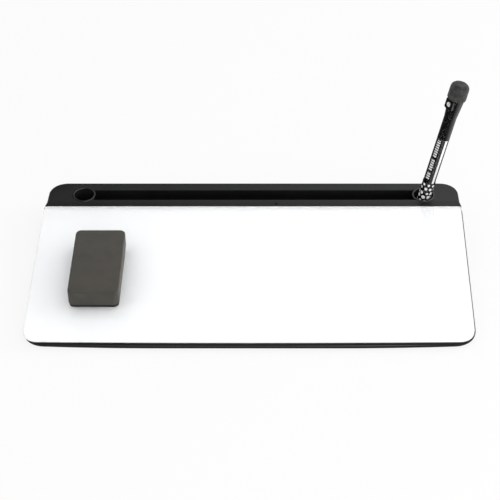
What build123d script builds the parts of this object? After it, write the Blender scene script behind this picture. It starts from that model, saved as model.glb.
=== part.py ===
"""Desktop glass whiteboard: a glass writing plate on a low wedge-shaped case.

Behind the glass runs a tray with a long slot and a round pen cup at each end. A marker stands in
the right cup and a block eraser lies on the glass. Sizes are in millimetres, angles in degrees.

Frame: the origin is the middle of the footprint on the desk. X runs to the right, Y to the rear
and Z up. The glass, its frame and the tray lie on one sloping board plane, whose own X and Y are
the width and the distance up the slope from the front edge of the case.
"""

from build123d import *
from math import acos, cos, radians, sin
import os

os.makedirs("parts", exist_ok=True)

# Slope and height of the case
tilt = 4.5
foot_height = 1.5
front_case_height = 5.1

# Glass plate with its coat, steel sheet and tape strips
glass_width = 380.0
glass_depth = 178.4
glass_thickness = 3.8
glass_front_radius = 12.8
glass_rear_radius = 1.5
glass_front_bow = 1.2
glass_left_overhang = 0.1
glass_edge_chamfer = 0.4
coat_thickness = 0.2
coat_margin = 0.3
steel_thickness = 0.5
steel_margin = 14.0
steel_radius = 8.0
tape_thickness = 0.6
tape_width = 24.0
tape_margin = 6.0
tape_count = 4

# Glass frame with the ridge behind the glass
frame_front_rim = 1.15
frame_right_rim = 1.1
frame_lip_thickness = 2.0
frame_plug_thickness = 1.5
frame_edge_fillet = 0.4
frame_front_bow = 1.9
frame_front_radius = 16.5
recess_gap = 0.5
ridge_gap = 0.3
ridge_width = 5.8
ridge_wall = 1.7
shoulder_width = 2.1
shoulder_lead = 3.0
ridge_top_fillet = 0.5
pin_hole_x = 20.8
pin_hole_radius = 1.2
pin_hole_depth = 1.2

# Tray housing with its slot
tray_depth = 27.9
tray_side_slant = 1.2
tray_rear_radius = 16.0
tray_top_fillet = 0.5
tray_seam_fillet = 0.4
tray_deck = 2.2
tray_wall = 2.0
slot_front_rim = 3.7
slot_width = 14.6
slot_depth = 12.0
slot_wall = 1.6
slot_edge_fillet = 0.85

# Pen cups
cup_side_inset = 32.6
cup_bore_radius = 8.9
cup_bottom_gap = 0.5
cup_wall = 0.8
cup_floor = 1.2
cup_lip_width = 1.5
cup_lip_height = 1.2
cup_lip_proud = 0.3
cup_lip_fillet = 0.45
cup_floor_fillet = 1.2
cup_clearance = 0.1
cup_collar_wall = 1.0
cup_collar_length = 8.0

# Bottom cover
cover_wall = 2.0
cover_floor = 1.6
cover_ledge = 0.1
cover_front_flat = 75.0
cover_front_bow = 3.4
cover_front_radius = 19.0
cover_top_chamfer = 0.45
cover_bottom_fillet = 0.6
plug_clearance = 0.3

# Screws and their bosses
screw_shank_radius = 1.3
screw_head_radius = 2.5
screw_head_height = 1.6
screw_length = 6.0
screw_tip_gap = 0.6
screw_clearance = 0.1
screw_head_depth = 0.5
screw_head_fillet = 0.5
screw_drive_width = 0.7
screw_drive_length = 3.0
screw_drive_depth = 0.8
boss_wall = 1.7
cover_boss_height = 2.0
frame_screw_columns = 3
frame_screw_side_inset = 41.0
frame_screw_front = 72.0
frame_screw_rear = 160.0
tray_screw_columns = 4
tray_screw_side_inset = 68.4

# Rubber feet
foot_radius = 6.5
foot_recess = 0.8
foot_fillet = 0.6
foot_clearance = 0.1
foot_side_inset = 26.0
foot_front_inset = 22.0
foot_rear_inset = 16.0

# Marker, measured along its own axis from the tail end
marker_lean = 13.1
marker_side_offset = 1.65
marker_rear_offset = 0.8
marker_floor_gap = 0.3
marker_fit = 0.05
tail_radius = 6.0
tail_length = 34.5
tail_floor = 2.5
tail_end_fillet = 1.4
barrel_radius = 5.5
barrel_length = 47.0
barrel_spigot_radius = 5.0
barrel_bore_radius = 3.9
barrel_floor = 1.6
neck_radius = 4.8
neck_length = 9.0
label_thickness = 0.12
label_margin = 0.05
label_wrap = 334.0
label_start = -47.0
reservoir_radius = 3.7
reservoir_gap = 1.0
reservoir_holder_gap = 2.0
holder_body_length = 6.5
holder_flange = 1.5
holder_base_radius = 3.3
holder_tip_radius = 2.5
holder_cone_length = 8.0
nib_radius = 1.5
nib_reach = 4.5
nib_tip_fillet = 1.2

# Marker cap with its magnet pad and felt eraser
cap_gap = 0.1
cap_radius = 5.65
cap_bore_radius = 5.1
nib_cap_gap = 1.3
cap_length = 42.1
cap_flare_length = 19.7
cap_top_radius = 7.5
cap_mouth_fillet = 0.2
liner_bore_radius = 3.6
liner_roof = 1.2
liner_gap = 0.4
felt_radius = 8.7
felt_length = 15.5
felt_top_fillet = 4.8
felt_base_fillet = 0.9
felt_spigot_radius = 5.9
felt_spigot_length = 4.5
pad_width = 9.5
pad_length = 10.0
pad_reach = 7.6
pad_corner_radius = 1.5
pad_edge_fillet = 0.6
pad_angle = -145.0
magnet_radius = 2.2
magnet_thickness = 1.2
magnet_hole_radius = 0.6

# Block eraser on the glass
eraser_width = 43.5
eraser_length = 84.0
eraser_height = 17.0
eraser_side_inset = 35.95
eraser_front = 40.9
eraser_corner_radius = 5.0
eraser_top_fillet = 1.2
eraser_felt_thickness = 3.0
eraser_felt_inset = 0.6
eraser_lift = 0.15

# Values worked out from the sizes above
glass_stack = glass_thickness + coat_thickness
seam = glass_stack + frame_lip_thickness
recess_depth = steel_thickness + tape_thickness
frame_half = (glass_width - glass_left_overhang + frame_right_rim) / 2
ridge_front = frame_front_rim + glass_depth + ridge_gap
shoulder_start = ridge_front - shoulder_lead
frame_depth = ridge_front + ridge_width
case_depth = frame_depth + tray_depth
tray_front_half = frame_half - shoulder_width
ridge_front_half = tray_front_half + shoulder_width * ridge_width / (ridge_width + shoulder_lead)
tray_rear_half = tray_front_half - tray_side_slant
slot_front = frame_depth + slot_front_rim
slot_middle = slot_front + slot_width / 2
cup_tube_radius = cup_bore_radius + cup_wall
cup_lip_radius = cup_bore_radius + cup_lip_width
cup_x = tray_front_half - cup_side_inset
cup_hole_radius = cup_tube_radius + cup_clearance
cup_seat_depth = cup_lip_height - cup_lip_proud
glass_left = -frame_half - glass_left_overhang
glass_x = glass_left + glass_width / 2
glass_y = frame_front_rim + glass_depth / 2
steel_width = glass_width - 2 * steel_margin
steel_depth = glass_depth - 2 * steel_margin

# The sloping board plane, and the directions along it
slope = radians(tilt)
case_bottom = glass_stack + front_case_height
front_z = foot_height + case_bottom * cos(slope)
cover_floor_top = foot_height + cover_floor
cup_height = front_z + (slot_middle - cup_tube_radius) * sin(slope) - cover_floor_top - cup_bottom_gap
cup_length = cup_height / cos(slope)
cup_depth = cup_length - cup_floor
front_y = -case_depth * cos(slope) / 2
board = Plane(origin=(0, front_y, front_z), x_dir=(1, 0, 0), z_dir=(0, -sin(slope), cos(slope)))
board_up = Axis(board.origin, board.z_dir)
board_rearward = Axis(board.origin, board.y_dir)
flush = 0.001


def level_y(distance):
    """Y of the point of the board plane this far up the slope."""
    return front_y + distance * cos(slope)


def row(count, pitch):
    """X of each of this many things in a row about the middle."""
    return [(index - (count - 1) / 2) * pitch for index in range(count)]


def case_outline(plane, inset):
    """Outline of the bottom cover: its front runs straight, then curves back to the corners."""
    half = frame_half + cover_ledge
    front = -cover_ledge
    corner = front + cover_front_bow
    rear = case_depth + cover_ledge
    with BuildSketch(plane) as outline:
        with BuildLine():
            Line((-cover_front_flat, front), (cover_front_flat, front))
            TangentArc((cover_front_flat, front), (half, corner), tangent=(1, 0))
            TangentArc((-cover_front_flat, front), (-half, corner), tangent=(-1, 0))
            Polyline(
                (half, corner),
                (half, shoulder_start),
                (tray_front_half + cover_ledge, frame_depth),
                (tray_rear_half + cover_ledge, rear),
                (-tray_rear_half - cover_ledge, rear),
                (-tray_front_half - cover_ledge, frame_depth),
                (-half, shoulder_start),
                (-half, corner),
            )
        make_face()
        fillet(vertices().group_by(Axis.Y)[1], radius=cover_front_radius)
        fillet(vertices().group_by(Axis.Y)[-1], radius=tray_rear_radius + cover_ledge)
        if inset:
            offset(amount=-inset, mode=Mode.REPLACE)
    return outline.sketch.face()


def frame_outline(plane):
    """Outline of the glass frame: a gently bowed front and rear corners that slant in."""
    with BuildSketch(plane) as outline:
        with BuildLine():
            ThreePointArc((-frame_half, frame_front_bow), (0, 0), (frame_half, frame_front_bow))
            Polyline(
                (frame_half, frame_front_bow),
                (frame_half, shoulder_start),
                (tray_front_half, frame_depth),
                (-tray_front_half, frame_depth),
                (-frame_half, shoulder_start),
                (-frame_half, frame_front_bow),
            )
        make_face()
        fillet(vertices().group_by(Axis.Y)[0], radius=frame_front_radius)
    return outline.sketch


def ridge_outline(plane):
    """Outline of the ridge behind the glass."""
    with BuildSketch(plane) as outline:
        with BuildLine():
            Polyline(
                (-ridge_front_half, ridge_front),
                (ridge_front_half, ridge_front),
                (tray_front_half, frame_depth),
                (-tray_front_half, frame_depth),
                close=True,
            )
        make_face()
    return outline.sketch


def tray_outline(plane, inset):
    """Outline of the tray housing, rounded at its rear corners."""
    with BuildSketch(plane) as outline:
        with BuildLine():
            Polyline(
                (-tray_front_half, frame_depth),
                (tray_front_half, frame_depth),
                (tray_rear_half, case_depth),
                (-tray_rear_half, case_depth),
                close=True,
            )
        make_face()
        fillet(vertices().group_by(Axis.Y)[-1], radius=tray_rear_radius)
        if inset:
            offset(amount=-inset, mode=Mode.REPLACE)
    return outline.sketch


def glass_outline(plane, inset):
    """Outline of the glass plate, or of a layer this much smaller all round."""
    left = glass_left + inset
    right = glass_left + glass_width - inset
    front = frame_front_rim + inset
    corner = front + glass_front_bow
    rear = frame_front_rim + glass_depth - inset
    with BuildSketch(plane) as outline:
        with BuildLine():
            ThreePointArc((left, corner), (glass_x, front), (right, corner))
            Polyline((right, corner), (right, rear), (left, rear), (left, corner))
        make_face()
        fillet(vertices().group_by(Axis.Y)[0], radius=glass_front_radius - inset)
        fillet(vertices().group_by(Axis.Y)[-1], radius=glass_rear_radius - inset)
    return outline.sketch


def discs(plane, spots, radius):
    """A circle of this radius at each of these places on the plane."""
    with BuildSketch(plane) as circles:
        with Locations(*spots):
            Circle(radius)
    return circles.sketch


# Places of the screws and the feet, seen from above
cover_boss_top = cover_floor_top + cover_boss_height
head_seat = foot_height + screw_head_depth + screw_head_height
screw_hole_radius = screw_shank_radius + screw_clearance
head_hole_radius = screw_head_radius + screw_clearance
cover_boss_radius = head_hole_radius + boss_wall
top_boss_radius = screw_shank_radius + boss_wall
pilot_top = head_seat + screw_length + screw_tip_gap
frame_screw_pitch = 2 * (frame_half - frame_screw_side_inset) / (frame_screw_columns - 1)
tray_screw_pitch = 2 * (tray_front_half - tray_screw_side_inset) / (tray_screw_columns - 1)
frame_screw_spots = [
    (x, level_y(distance))
    for distance in (frame_screw_front, frame_screw_rear)
    for x in row(frame_screw_columns, frame_screw_pitch)
]
tray_screw_spots = [(x, level_y(slot_middle)) for x in row(tray_screw_columns, tray_screw_pitch)]
foot_pitch = frame_half - foot_side_inset
foot_sides = {"left": -foot_pitch, "middle": 0.0, "right": foot_pitch}
foot_ends = {
    "front": level_y(foot_front_inset),
    "rear": level_y(case_depth - foot_rear_inset),
}
foot_spots = [(x, y) for y in foot_ends.values() for x in foot_sides.values()]
all_screw_spots = frame_screw_spots + tray_screw_spots

# Bottom cover: a wedge-shaped shell with screw bosses and recesses for the feet
underside = Plane.XY.offset(foot_height)
cover_shape = case_outline(board.offset(-seam), 0)
cover_hollow = case_outline(board.offset(-seam), cover_wall)
cover_bosses = discs(underside, all_screw_spots, cover_boss_radius)
head_holes = discs(underside, all_screw_spots, head_hole_radius)
screw_holes = discs(underside, all_screw_spots, screw_hole_radius)
foot_holes = discs(underside, foot_spots, foot_radius + foot_clearance)

with BuildPart() as cover_cavity:
    extrude(cover_hollow, amount=-case_depth)
    split(bisect_by=Plane.XY.offset(cover_floor_top), keep=Keep.TOP)

with BuildPart() as bottom_cover:
    extrude(cover_shape, amount=-case_depth)
    split(bisect_by=underside, keep=Keep.TOP)
    chamfer(faces().sort_by(board_up)[-1].edges(), length=cover_top_chamfer)
    fillet(faces().sort_by(Axis.Z)[0].edges(), radius=cover_bottom_fillet)
    add(cover_cavity.part, mode=Mode.SUBTRACT)
    extrude(cover_bosses, amount=cover_boss_top - foot_height)
    extrude(head_holes, amount=head_seat - foot_height, mode=Mode.SUBTRACT)
    extrude(screw_holes, amount=cover_boss_top - foot_height, mode=Mode.SUBTRACT)
    extrude(foot_holes, amount=foot_recess, mode=Mode.SUBTRACT)
bottom_cover.part.label = "bottom_cover"
export_step(bottom_cover.part, "parts/bottom_cover.step")

# Glass frame: the lipped plate under the glass, with the ridge along its rear edge
plug_half = frame_half + cover_ledge - cover_wall - plug_clearance
plug_front = cover_front_bow - cover_ledge + cover_wall + plug_clearance
plug_rear = ridge_front - cover_wall - plug_clearance
plug_radius = cover_front_radius - cover_wall - plug_clearance
frame_plate = frame_outline(board.offset(-seam))
ridge_shape = ridge_outline(board.offset(-seam))
frame_boss_discs = discs(Plane.XY.offset(cover_boss_top), frame_screw_spots, top_boss_radius)
frame_pilot_discs = discs(Plane.XY.offset(cover_boss_top), frame_screw_spots, screw_hole_radius)

with BuildPart() as frame_bosses:
    extrude(frame_boss_discs, amount=case_depth)
    split(bisect_by=board.offset(-seam), keep=Keep.BOTTOM)

with BuildPart() as glass_frame:
    extrude(frame_plate, amount=frame_lip_thickness)
    fillet(faces().sort_by(board_up)[-1].edges(), radius=frame_edge_fillet)
    extrude(ridge_shape, amount=seam)
    fillet(faces().sort_by(board_up)[-1].edges(), radius=ridge_top_fillet)
    with BuildSketch(board.offset(-seam)):
        with Locations((0, (plug_front + plug_rear) / 2)):
            RectangleRounded(2 * plug_half, plug_rear - plug_front, plug_radius)
    extrude(amount=-frame_plug_thickness)
    with BuildSketch(board.offset(-glass_stack)):
        with Locations((glass_x, glass_y)):
            RectangleRounded(
                steel_width + 2 * recess_gap,
                steel_depth + 2 * recess_gap,
                steel_radius + recess_gap,
            )
    extrude(amount=-recess_depth, mode=Mode.SUBTRACT)
    with BuildSketch(board.offset(-seam)):
        with Locations((0, ridge_front + ridge_width / 2)):
            Rectangle(2 * (tray_front_half - ridge_wall), ridge_width - 2 * ridge_wall)
    extrude(amount=seam - ridge_wall, mode=Mode.SUBTRACT)
    with BuildSketch(board):
        with Locations((pin_hole_x, ridge_front + ridge_width / 2)):
            Circle(pin_hole_radius)
    extrude(amount=-pin_hole_depth, mode=Mode.SUBTRACT)
    add(frame_bosses.part)
    extrude(frame_pilot_discs, amount=pilot_top - cover_boss_top, mode=Mode.SUBTRACT)
glass_frame.part.label = "glass_frame"
export_step(glass_frame.part, "parts/glass_frame.step")

# Tray housing: the shell behind the glass, with the slot pocket and a collar for each cup
tray_shape = tray_outline(board.offset(-seam), 0)
tray_hollow = tray_outline(board.offset(-seam), tray_wall)
tray_boss_discs = discs(Plane.XY.offset(cover_boss_top), tray_screw_spots, top_boss_radius)
tray_pilot_discs = discs(Plane.XY.offset(cover_boss_top), tray_screw_spots, screw_hole_radius)
cup_spots = [(-cup_x, slot_middle), (cup_x, slot_middle)]
cup_hole_discs = discs(board, cup_spots, cup_hole_radius)
cup_seat_discs = discs(board, cup_spots, cup_lip_radius + cup_clearance)

with BuildPart() as tray_bosses:
    extrude(tray_boss_discs, amount=case_depth)
    split(bisect_by=board.offset(-slot_depth - slot_wall), keep=Keep.BOTTOM)

with BuildPart() as tray_housing:
    extrude(tray_shape, amount=seam)
    seam_edge = faces().sort_by(board_up)[-1].edges().sort_by(board_rearward)[0]
    fillet(seam_edge, radius=tray_seam_fillet)
    rim_edges = faces().sort_by(board_up)[-1].edges().sort_by(board_rearward)[1:]
    fillet(rim_edges, radius=tray_top_fillet)
    extrude(tray_hollow, amount=seam - tray_deck, mode=Mode.SUBTRACT)
    with BuildSketch(board.offset(-tray_deck / 2)):
        with Locations((0, slot_middle)):
            Rectangle(2 * cup_x, slot_width + 2 * slot_wall)
    extrude(amount=tray_deck / 2 - slot_depth - slot_wall)
    with BuildSketch(board.offset(-tray_deck / 2)):
        with Locations(*cup_spots):
            Circle(cup_hole_radius + cup_collar_wall)
    extrude(amount=-cup_collar_length)
    with BuildSketch(board):
        with Locations((0, slot_middle)):
            Rectangle(2 * cup_x, slot_width)
    extrude(amount=-slot_depth, mode=Mode.SUBTRACT)
    extrude(cup_hole_discs, amount=-case_depth, mode=Mode.SUBTRACT)
    extrude(cup_seat_discs, amount=-cup_seat_depth, mode=Mode.SUBTRACT)
    top_lines = edges().filter_by(Axis.X).filter_by_position(board_up, -flush, flush)
    fillet(top_lines, radius=slot_edge_fillet)
    add(tray_bosses.part)
    extrude(tray_pilot_discs, amount=pilot_top - cover_boss_top, mode=Mode.SUBTRACT)
tray_housing.part.label = "tray_housing"
export_step(tray_housing.part, "parts/tray_housing.step")

# Glass plate, its white coat, the steel sheet and the tape strips
glass_shape = glass_outline(board.offset(-glass_thickness), 0)
coat_shape = glass_outline(board.offset(-glass_stack), coat_margin)

with BuildPart() as glass_panel:
    extrude(glass_shape, amount=glass_thickness)
    chamfer(faces().sort_by(board_up)[-1].edges(), length=glass_edge_chamfer)
glass_panel.part.label = "glass_panel"
export_step(glass_panel.part, "parts/glass_panel.step")

with BuildPart() as white_coat:
    extrude(coat_shape, amount=coat_thickness)
white_coat.part.label = "white_coat"
export_step(white_coat.part, "parts/white_coat.step")

with BuildPart() as steel_sheet:
    with BuildSketch(board.offset(-glass_stack - steel_thickness)):
        with Locations((glass_x, glass_y)):
            RectangleRounded(steel_width, steel_depth, steel_radius)
    extrude(amount=steel_thickness)
steel_sheet.part.label = "steel_sheet"
export_step(steel_sheet.part, "parts/steel_sheet.step")

tape_pitch = (steel_depth - 2 * tape_margin - tape_width) / (tape_count - 1)
with BuildPart() as adhesive_strips:
    with BuildSketch(board.offset(-glass_stack - recess_depth)):
        with Locations(*[(glass_x, glass_y + y) for y in row(tape_count, tape_pitch)]):
            Rectangle(steel_width - 2 * tape_margin, tape_width)
    extrude(amount=tape_thickness)
adhesive_strips.part.label = "adhesive_strips"
export_step(adhesive_strips.part, "parts/adhesive_strips.step")


def pen_cup(x):
    """A pen cup: a round blind tube whose lip sits in the tray's counterbore."""
    middle = board.from_local_coords((x, slot_middle, 0))
    section = Plane(origin=middle, x_dir=board.x_dir, z_dir=-board.y_dir)
    with BuildPart() as cup:
        with BuildSketch(section):
            with BuildLine():
                Polyline(
                    (0, -cup_length),
                    (cup_tube_radius, -cup_length),
                    (cup_tube_radius, -cup_seat_depth),
                    (cup_lip_radius, -cup_seat_depth),
                    (cup_lip_radius, cup_lip_proud),
                    (cup_bore_radius, cup_lip_proud),
                    (cup_bore_radius, -cup_depth),
                    (0, -cup_depth),
                    close=True,
                )
            make_face()
            fillet(vertices().group_by(Axis.Y)[-1], radius=cup_lip_fillet)
            corner = vertices().sort_by_distance((cup_bore_radius, -cup_depth))[0]
            fillet(corner, radius=cup_floor_fillet)
        revolve(axis=Axis(middle, board.z_dir))
    return cup.part


for side, x in (("left", -cup_x), ("right", cup_x)):
    cup_part = pen_cup(x)
    cup_part.label = f"pen_cup_{side}"
    export_step(cup_part, f"parts/pen_cup_{side}.step")


def case_screws(spots):
    """Pan-head screws that come up through the bottom cover, with crossed drive slots."""
    with BuildPart() as screws:
        with BuildSketch(Plane.XY.offset(head_seat - screw_head_height)):
            with Locations(*spots):
                Circle(screw_head_radius)
        extrude(amount=screw_head_height)
        fillet(faces().group_by(Axis.Z)[0].edges(), radius=screw_head_fillet)
        with BuildSketch(Plane.XY.offset(head_seat - screw_head_height)):
            with Locations(*spots):
                Rectangle(screw_drive_length, screw_drive_width)
                Rectangle(screw_drive_width, screw_drive_length)
        extrude(amount=screw_drive_depth, mode=Mode.SUBTRACT)
        with BuildSketch(Plane.XY.offset(head_seat)):
            with Locations(*spots):
                Circle(screw_shank_radius)
        extrude(amount=screw_length)
    return screws.part


for name, spots in (("frame_screws", frame_screw_spots), ("tray_screws", tray_screw_spots)):
    screw_part = case_screws(spots)
    screw_part.label = name
    export_step(screw_part, f"parts/{name}.step")

# Rubber feet, pressed into the recesses of the bottom cover
for end, y in foot_ends.items():
    for side, x in foot_sides.items():
        with BuildPart() as foot:
            with BuildSketch(Plane.XY):
                with Locations((x, y)):
                    Circle(foot_radius)
            extrude(amount=foot_height + foot_recess)
            fillet(faces().sort_by(Axis.Z)[0].edges(), radius=foot_fillet)
        foot.part.label = f"foot_{end}_{side}"
        export_step(foot.part, f"parts/foot_{end}_{side}.step")

# The marker's axis: it leans to the right in the right-hand cup
lean = radians(marker_lean)
marker_up = Vector(sin(lean), 0, cos(lean))
marker_right = Vector(cos(lean), 0, -sin(lean))
rim_point = board.from_local_coords((cup_x + marker_side_offset, slot_middle + marker_rear_offset, 0))
cup_angle = acos(cos(lean) * cos(slope))
tail_drop = (cup_depth - tail_radius * sin(cup_angle) - marker_floor_gap) / cos(cup_angle)
tail_end = rim_point - marker_up * tail_drop
marker_axis = Axis(tail_end, marker_up)
marker_section = Plane(origin=tail_end, x_dir=marker_right, z_dir=(0, -1, 0))
marker_base = Plane(origin=tail_end, x_dir=marker_right, z_dir=marker_up)


def across_marker(angle):
    """Direction square to the marker's axis, turned about it by this angle from the right."""
    return marker_right.rotate(Axis((0, 0, 0), marker_up), angle)


# Marker tail: the dotted end sleeve
with BuildPart() as marker_tail:
    with BuildSketch(marker_section):
        with BuildLine():
            Polyline(
                (0, 0),
                (tail_radius, 0),
                (tail_radius, tail_length),
                (barrel_spigot_radius + marker_fit, tail_length),
                (barrel_spigot_radius + marker_fit, tail_floor),
                (0, tail_floor),
                close=True,
            )
        make_face()
        fillet(vertices().sort_by_distance((tail_radius, 0))[0], radius=tail_end_fillet)
    revolve(axis=marker_axis)
marker_tail.part.label = "marker_tail"
export_step(marker_tail.part, "parts/marker_tail.step")

# Marker barrel: a tube with a spigot in the tail and a neck for the cap
barrel_end = tail_length + barrel_length
neck_end = barrel_end + neck_length
barrel_start = tail_floor + marker_fit
barrel_bore_start = barrel_start + barrel_floor
with BuildPart() as marker_barrel:
    with BuildSketch(marker_section):
        with BuildLine():
            Polyline(
                (0, barrel_start),
                (barrel_spigot_radius, barrel_start),
                (barrel_spigot_radius, tail_length + marker_fit),
                (barrel_radius, tail_length + marker_fit),
                (barrel_radius, barrel_end),
                (neck_radius, barrel_end),
                (neck_radius, neck_end),
                (barrel_bore_radius, neck_end),
                (barrel_bore_radius, barrel_bore_start),
                (0, barrel_bore_start),
                close=True,
            )
        make_face()
    revolve(axis=marker_axis)
marker_barrel.part.label = "marker_barrel"
export_step(marker_barrel.part, "parts/marker_barrel.step")

# Label: a thin wrap that leaves a strip of the barrel bare
label_direction = across_marker(label_start)
label_section = Plane(origin=tail_end, x_dir=label_direction, z_dir=label_direction.cross(marker_up))
with BuildPart() as marker_label:
    with BuildSketch(label_section):
        with BuildLine():
            Polyline(
                (barrel_radius, tail_length + label_margin),
                (barrel_radius + label_thickness, tail_length + label_margin),
                (barrel_radius + label_thickness, barrel_end - label_margin),
                (barrel_radius, barrel_end - label_margin),
                close=True,
            )
        make_face()
    revolve(axis=marker_axis, revolution_arc=label_wrap)
marker_label.part.label = "marker_label"
export_step(marker_label.part, "parts/marker_label.step")

# Ink reservoir: the fibre rod in the barrel
reservoir_end = neck_end - holder_body_length - reservoir_holder_gap
with BuildPart() as ink_reservoir:
    with BuildSketch(marker_base.offset(barrel_bore_start + reservoir_gap)):
        Circle(reservoir_radius)
    extrude(amount=reservoir_end - barrel_bore_start - reservoir_gap)
ink_reservoir.part.label = "ink_reservoir"
export_step(ink_reservoir.part, "parts/ink_reservoir.step")

# Nib holder: a plug in the neck, with a flange and a cone
flange_end = neck_end + holder_flange
cone_end = flange_end + holder_cone_length
with BuildPart() as nib_holder:
    with BuildSketch(marker_section):
        with BuildLine():
            Polyline(
                (nib_radius + marker_fit, neck_end - holder_body_length),
                (barrel_bore_radius - marker_fit, neck_end - holder_body_length),
                (barrel_bore_radius - marker_fit, neck_end),
                (neck_radius, neck_end),
                (neck_radius, flange_end),
                (holder_base_radius, flange_end),
                (holder_tip_radius, cone_end),
                (nib_radius + marker_fit, cone_end),
                close=True,
            )
        make_face()
    revolve(axis=marker_axis)
nib_holder.part.label = "nib_holder"
export_step(nib_holder.part, "parts/nib_holder.step")

# Nib: a fibre rod with a rounded tip, which starts at the reservoir
nib_end = cone_end + nib_reach
with BuildPart() as nib:
    with BuildSketch(marker_base.offset(reservoir_end)):
        Circle(nib_radius)
    extrude(amount=nib_end - reservoir_end)
    fillet(faces().sort_by(marker_axis)[-1].edges(), radius=nib_tip_fillet)
nib.part.label = "nib"
export_step(nib.part, "parts/nib.step")

# Marker cap: a flared cap with a flat pad for the magnet
cap_start = barrel_end + cap_gap
cap_end = cap_start + cap_length
cap_flare_start = cap_end - cap_flare_length
cap_bore_end = nib_end + nib_cap_gap + liner_roof
pad_middle = cap_end - pad_length / 2
pad_out = across_marker(pad_angle)
pad_face = Plane(
    origin=tail_end + marker_up * pad_middle + pad_out * pad_reach,
    x_dir=marker_up.cross(pad_out),
    z_dir=pad_out,
)
with BuildPart() as magnet_pad:
    with BuildSketch(pad_face):
        RectangleRounded(pad_width, pad_length, pad_corner_radius)
    extrude(amount=-pad_reach)
    fillet(faces().sort_by(Axis(pad_face.origin, pad_out))[-1].edges(), radius=pad_edge_fillet)

with BuildPart() as marker_cap:
    with BuildSketch(marker_section):
        with BuildLine():
            Polyline(
                (0, cap_start),
                (cap_radius, cap_start),
                (cap_radius, cap_flare_start),
                (cap_top_radius, cap_end),
                (0, cap_end),
                close=True,
            )
        make_face()
        fillet(vertices().sort_by_distance((cap_radius, cap_start))[0], radius=cap_mouth_fillet)
    revolve(axis=marker_axis)
    add(magnet_pad.part)
    with BuildSketch(marker_base.offset(cap_start)):
        Circle(cap_bore_radius)
    extrude(amount=cap_bore_end - cap_start, mode=Mode.SUBTRACT)
    with BuildSketch(marker_base.offset(cap_end)):
        Circle(felt_spigot_radius + marker_fit)
    extrude(amount=-felt_spigot_length, mode=Mode.SUBTRACT)
    with BuildSketch(pad_face):
        Circle(magnet_radius + marker_fit)
    extrude(amount=-magnet_thickness, mode=Mode.SUBTRACT)
marker_cap.part.label = "marker_cap"
export_step(marker_cap.part, "parts/marker_cap.step")

# Cap liner: the inner cup that seals round the nib
liner_start = flange_end + liner_gap
with BuildPart() as cap_liner:
    with BuildSketch(marker_base.offset(liner_start)):
        Circle(cap_bore_radius - marker_fit)
    extrude(amount=cap_bore_end - liner_start)
    with BuildSketch(marker_base.offset(liner_start)):
        Circle(liner_bore_radius)
    extrude(amount=cap_bore_end - liner_roof - liner_start, mode=Mode.SUBTRACT)
cap_liner.part.label = "cap_liner"
export_step(cap_liner.part, "parts/cap_liner.step")

# Cap magnet: a small ring set flush in the pad
with BuildPart() as cap_magnet:
    with BuildSketch(pad_face):
        Circle(magnet_radius)
        Circle(magnet_hole_radius, mode=Mode.SUBTRACT)
    extrude(amount=-magnet_thickness)
cap_magnet.part.label = "cap_magnet"
export_step(cap_magnet.part, "parts/cap_magnet.step")

# Cap eraser: the domed felt head, with a spigot in the cap
felt_end = cap_end + felt_length
with BuildPart() as cap_eraser:
    with BuildSketch(marker_section):
        with BuildLine():
            Polyline(
                (0, cap_end - felt_spigot_length),
                (felt_spigot_radius, cap_end - felt_spigot_length),
                (felt_spigot_radius, cap_end),
                (felt_radius, cap_end),
                (felt_radius, felt_end),
                (0, felt_end),
                close=True,
            )
        make_face()
        fillet(vertices().sort_by_distance((felt_radius, felt_end))[0], radius=felt_top_fillet)
        fillet(vertices().sort_by_distance((felt_radius, cap_end))[0], radius=felt_base_fillet)
    revolve(axis=marker_axis)
cap_eraser.part.label = "cap_eraser"
export_step(cap_eraser.part, "parts/cap_eraser.step")

# Block eraser: a foam block with a felt wiping pad under it
eraser_x = glass_left + eraser_side_inset + eraser_width / 2
eraser_middle = (eraser_x, eraser_front + eraser_length / 2)
with BuildPart() as eraser_felt:
    with BuildSketch(board.offset(eraser_lift)):
        with Locations(eraser_middle):
            RectangleRounded(
                eraser_width - 2 * eraser_felt_inset,
                eraser_length - 2 * eraser_felt_inset,
                eraser_corner_radius - eraser_felt_inset,
            )
    extrude(amount=eraser_felt_thickness)
eraser_felt.part.label = "eraser_felt"
export_step(eraser_felt.part, "parts/eraser_felt.step")

with BuildPart() as eraser_block:
    with BuildSketch(board.offset(eraser_lift + eraser_felt_thickness)):
        with Locations(eraser_middle):
            RectangleRounded(eraser_width, eraser_length, eraser_corner_radius)
    extrude(amount=eraser_height - eraser_felt_thickness)
    fillet(faces().sort_by(board_up)[-1].edges(), radius=eraser_top_fillet)
eraser_block.part.label = "eraser_block"
export_step(eraser_block.part, "parts/eraser_block.step")
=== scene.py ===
"""Desktop glass whiteboard: a glass writing plate on a low wedge-shaped black case.

The case, tray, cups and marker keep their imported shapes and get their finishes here. The glass
plate, the felt head of the marker, the foam eraser and its wiping pad are modelled here. Lengths
are in metres and angles in radians, unless a name says otherwise.
"""

import logging
import math
from dataclasses import dataclass, field
from enum import Enum

import bmesh
import bpy
from mathutils import Matrix, Vector, noise


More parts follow.
